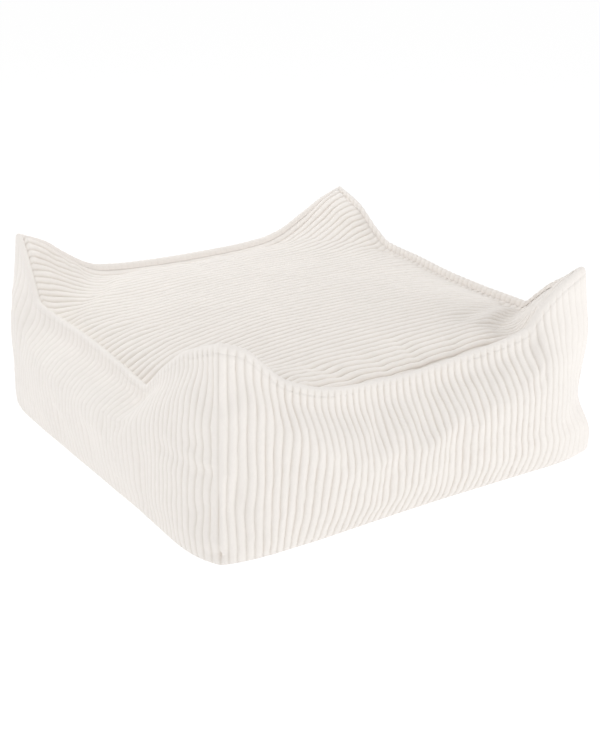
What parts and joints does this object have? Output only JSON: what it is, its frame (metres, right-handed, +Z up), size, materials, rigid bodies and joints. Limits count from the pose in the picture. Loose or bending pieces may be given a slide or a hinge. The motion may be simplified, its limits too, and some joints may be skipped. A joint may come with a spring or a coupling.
{
  "type": "ottoman",
  "caption": "Square floor ottoman in wide cord: a filled cushion with a sunken top between raised corner ears and a smooth rolled welt round the top edge.",
  "frame": {"origin": "on the floor, under the centre of the ottoman's overall box", "axes": "+Z up; -Y towards the side whose rim is on the picture's right front, -X towards the side on its left front"},
  "size_m": [0.6394, 0.6492, 0.268],
  "materials": {
    "cushion_cord": "soft cut pile in wide wales, matt",
    "welt_cloth": "the same cord, flattened over the roll, matt"
  },
  "bodies": {
    "root": {"cushion_body": "cushion_cord", "welt": "welt_cloth"}
  },
  "joints": []
}
